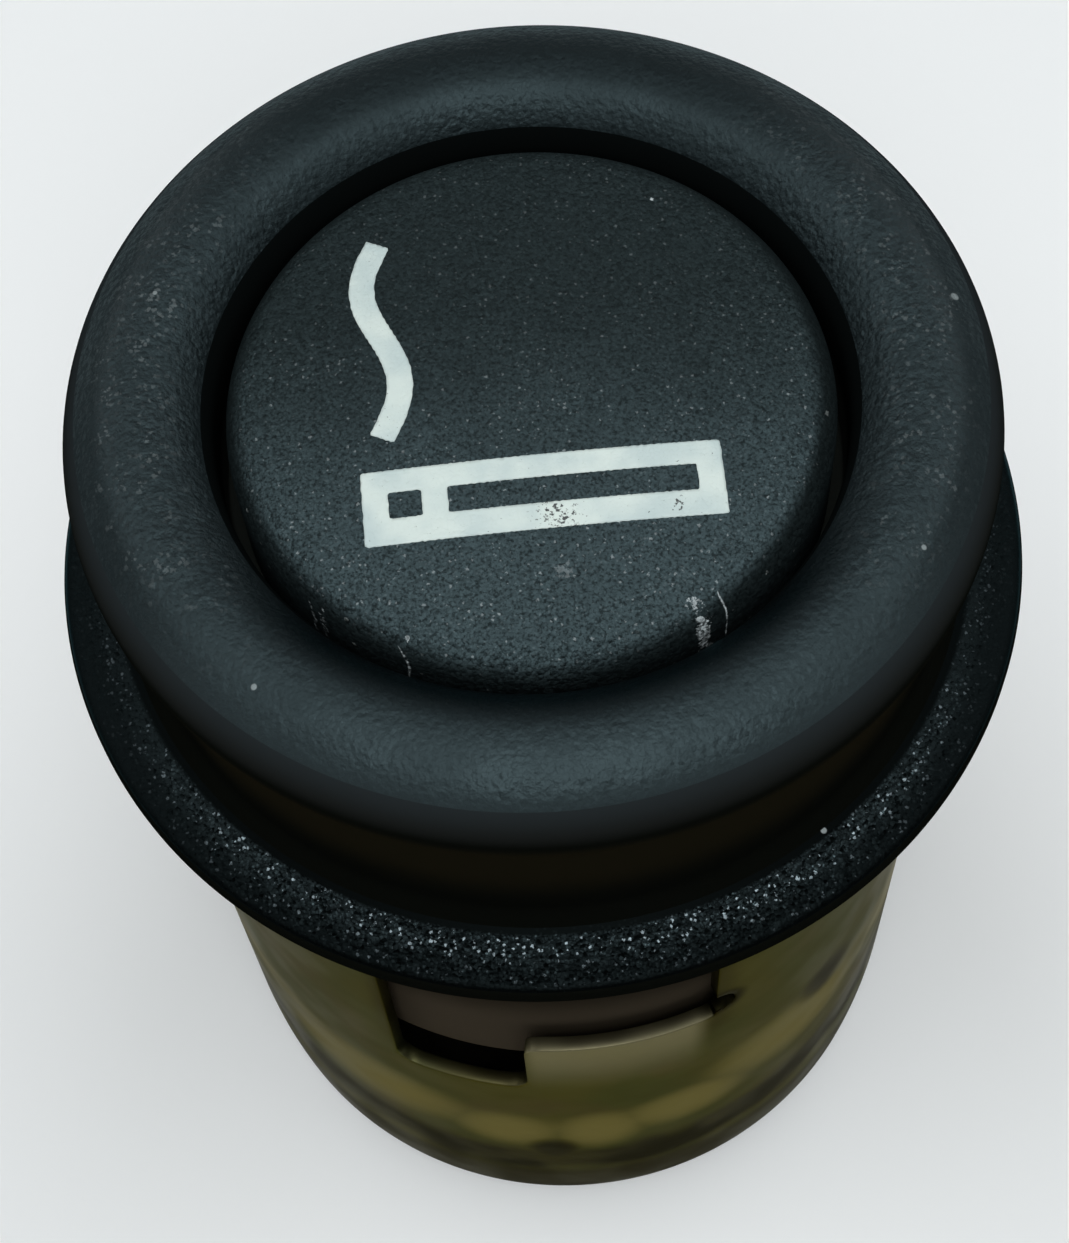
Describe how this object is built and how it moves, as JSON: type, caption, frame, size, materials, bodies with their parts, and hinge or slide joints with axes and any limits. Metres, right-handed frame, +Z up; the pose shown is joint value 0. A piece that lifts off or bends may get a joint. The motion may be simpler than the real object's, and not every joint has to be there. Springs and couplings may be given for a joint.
{
  "type": "car cigarette lighter plug",
  "caption": "Pull-out car cigarette lighter plug: ringed knob with a domed cap, flange and plated sleeve; pressing the knob drives a spiral heater down against a spring.",
  "frame": {"origin": "centre of the sleeve's lower edge, on the surface that the plug stands on", "axes": "+Z up along the plug's axis from the heater's mouth to the knob, -Y towards the reader of the sign"},
  "size_m": [0.0236, 0.0236, 0.0317],
  "materials": {
    "knob_plastic": "satin black moulding with a fine grain",
    "cap_plastic": "black moulding with a fine grain and a pale printed sign",
    "passivated_steel": "zinc plate with a yellow passivated film",
    "plated_steel": "zinc plate",
    "spring_steel": "oiled spring wire",
    "heater_steel": "stainless sheet with heat tint",
    "coil_ribbon": "oxidised resistance ribbon",
    "steatite": "unglazed",
    "mica": "pressed mica sheet"
  },
  "bodies": {
    "barrel": {"sleeve": "passivated_steel", "guide_plate": "passivated_steel", "return_spring": "spring_steel"},
    "plunger": {"knob": "knob_plastic", "symbol_cap": "cap_plastic", "stud": "plated_steel", "knob_nut": "plated_steel", "lock_washer": "spring_steel", "spring_seat": "plated_steel", "ash_guard": "plated_steel", "mica_washer": "mica", "ceramic_bush": "steatite", "heating_cup": "heater_steel", "ceramic_disc": "steatite", "rivet_washer": "plated_steel", "heating_coil": "coil_ribbon"}
  },
  "joints": [
    {"name": "knob_press", "type": "slide", "parent": "barrel", "child": "plunger", "axis": [0, 0, -1], "range_m": [0, 0.0045], "stiffness_N_per_m": 700, "springref_m": -0.005, "deforming": ["return_spring"]}
  ]
}
